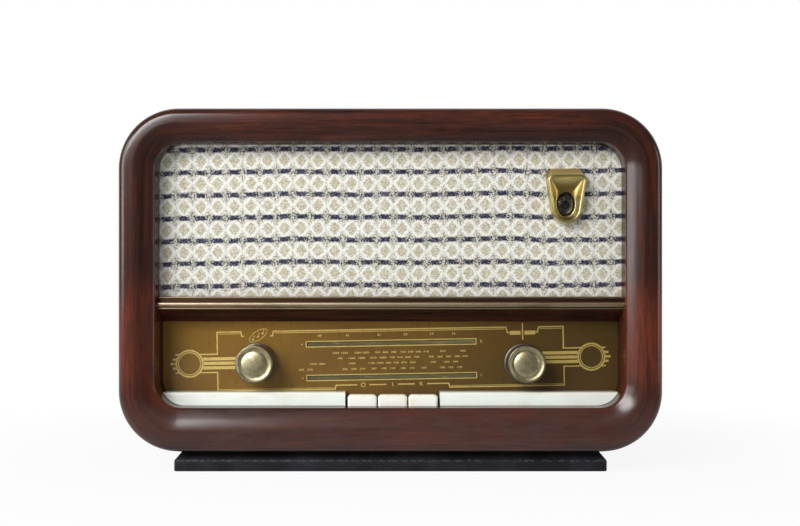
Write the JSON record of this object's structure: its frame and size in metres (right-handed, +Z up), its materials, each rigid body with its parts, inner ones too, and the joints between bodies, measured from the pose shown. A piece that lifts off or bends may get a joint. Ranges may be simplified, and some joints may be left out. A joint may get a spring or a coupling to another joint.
{
  "type": "table radio",
  "caption": "Wooden table radio with round corners, cloth grille, tuning-eye bezel, printed dial glass, two metal knobs, white push keys and a black base.",
  "frame": {"origin": "middle of the underside, on the surface that the radio stands on", "axes": "+X to the right as the listener sees it, +Y to the back, +Z up"},
  "size_m": [0.54, 0.24, 0.362],
  "materials": {
    "cabinet_wood": "dark mahogany veneer, glossy varnish, small dings",
    "inner_wood": "bare plywood",
    "base_wood": "black lacquer, satin, rubbed on the edges",
    "divider_wood": "dark varnish, satin",
    "cloth": "woven, off-white with beige lozenges and blue dashes",
    "brass": "aged, satin",
    "printed_glass": "glossy, printed brown and gold on the back",
    "white_plastic": "satin, a little yellowed",
    "key_plastic": "satin, yellowed, grubby edges",
    "knob_metal": "champagne, turned, scratched",
    "bezel_metal": "olive brass lacquer",
    "steel": "plated, satin",
    "plate_paint": "grey-green paint",
    "fibreboard": "pressed brown board",
    "bakelite": "brown",
    "cord_fibre": "waxed",
    "can_metal": "satin",
    "magnet_iron": "painted",
    "cone_paper": "black, matt",
    "tube_glass": "clear with a silvered top",
    "coil_winding": "varnished",
    "rubber": "matt",
    "lamp_glass": "clear"
  },
  "bodies": {
    "cabinet": {"cabinet_shell": "cabinet_wood", "front_frame": "cabinet_wood", "plinth": "base_wood", "baffle_board": "inner_wood", "grille_cloth": "cloth", "divider_rail": "divider_wood", "brass_trim": "brass", "dial_cheek_left": "divider_wood", "dial_cheek_right": "divider_wood", "filler_strip_left": "white_plastic", "filler_strip_right": "white_plastic", "dial_glass": "printed_glass", "glass_clips": "steel", "key_rod": "steel", "key_bracket": "steel", "key_springs": "brass", "volume_control": "can_metal", "tuning_bushing": "brass", "capacitor_stator": "can_metal", "capacitor_frame": "steel", "drive_cord": "cord_fibre", "dial_backplate": "plate_paint", "pointer_rail": "steel", "dial_lamps": "lamp_glass", "chassis": "steel", "chassis_battens": "inner_wood", "tube_sockets": "bakelite", "valves": "tube_glass", "coil_cans": "can_metal", "filter_capacitor": "can_metal", "mains_transformer": "coil_winding", "output_transformer": "coil_winding", "speaker_basket": "steel", "speaker_cone": "cone_paper", "speaker_magnet": "magnet_iron", "eye_bezel": "bezel_metal", "eye_tube": "tube_glass", "eye_clip": "steel", "back_cover": "fibreboard", "cover_blocks": "inner_wood", "wood_screws": "brass", "socket_strip": "bakelite", "cord_grommet": "rubber"},
    "key_1": {"key_cap_1": "key_plastic", "key_lever_1": "steel"},
    "key_2": {"key_cap_2": "key_plastic", "key_lever_2": "steel"},
    "key_3": {"key_cap_3": "key_plastic", "key_lever_3": "steel"},
    "volume": {"volume_knob": "knob_metal", "volume_knob_cap": "knob_metal", "volume_shaft": "steel"},
    "tuning": {"tuning_knob": "knob_metal", "tuning_knob_cap": "knob_metal", "tuning_shaft": "steel"},
    "drum": {"drive_drum": "bakelite", "capacitor_rotor": "can_metal"},
    "pointer": {"dial_pointer": "brass"},
    "pulley_left": {"pulley_left": "bakelite"},
    "pulley_right": {"pulley_right": "bakelite"}
  },
  "joints": [
    {"name": "key_1_press", "type": "hinge", "parent": "cabinet", "child": "key_1", "pos_m": [0, -0.0302, 0.065], "axis": [1, 0, 0], "range_deg": [0, 6], "stiffness_Nm_per_rad": 1, "springref_deg": -6.88, "deforming": ["key_springs"]},
    {"name": "key_2_press", "type": "hinge", "parent": "cabinet", "child": "key_2", "pos_m": [0, -0.0302, 0.065], "axis": [1, 0, 0], "range_deg": [0, 6], "stiffness_Nm_per_rad": 1, "springref_deg": -6.88},
    {"name": "key_3_press", "type": "hinge", "parent": "cabinet", "child": "key_3", "pos_m": [0, -0.0302, 0.065], "axis": [1, 0, 0], "range_deg": [0, 6], "stiffness_Nm_per_rad": 1, "springref_deg": -6.88},
    {"name": "volume_turn", "type": "hinge", "parent": "cabinet", "child": "volume", "pos_m": [-0.137, -0.09, 0.107], "axis": [0, 1, 0], "range_deg": [-140, 140]},
    {"name": "tuning_turn", "type": "hinge", "parent": "cabinet", "child": "tuning", "pos_m": [0.137, -0.09, 0.107], "axis": [0, 1, 0], "range_deg": [-369, 2100]},
    {"name": "drum_turn", "type": "hinge", "parent": "cabinet", "child": "drum", "pos_m": [0.163, -0.057, 0.158], "axis": [0, 1, 0], "range_deg": [-27, 153]},
    {"name": "pointer_slide", "type": "slide", "parent": "cabinet", "child": "pointer", "axis": [1, 0, 0], "range_m": [-0.0243, 0.1376]},
    {"name": "pulley_left_turn", "type": "hinge", "parent": "cabinet", "child": "pulley_left", "pos_m": [-0.122, -0.057, 0.14145], "axis": [0, 1, 0], "range_deg": [-184, 1044]},
    {"name": "pulley_right_turn", "type": "hinge", "parent": "cabinet", "child": "pulley_right", "pos_m": [0.092, -0.057, 0.15655], "axis": [0, 1, 0], "range_deg": [-1044, 184]}
  ],
  "couplings": [
    {"joint": "drum_turn", "follows": "tuning_turn", "ratio": 0.072745},
    {"joint": "pointer_slide", "follows": "tuning_turn", "m_per_rad": 0.00375},
    {"joint": "pulley_left_turn", "follows": "tuning_turn", "ratio": 0.49669},
    {"joint": "pulley_right_turn", "follows": "tuning_turn", "ratio": -0.49669}
  ]
}
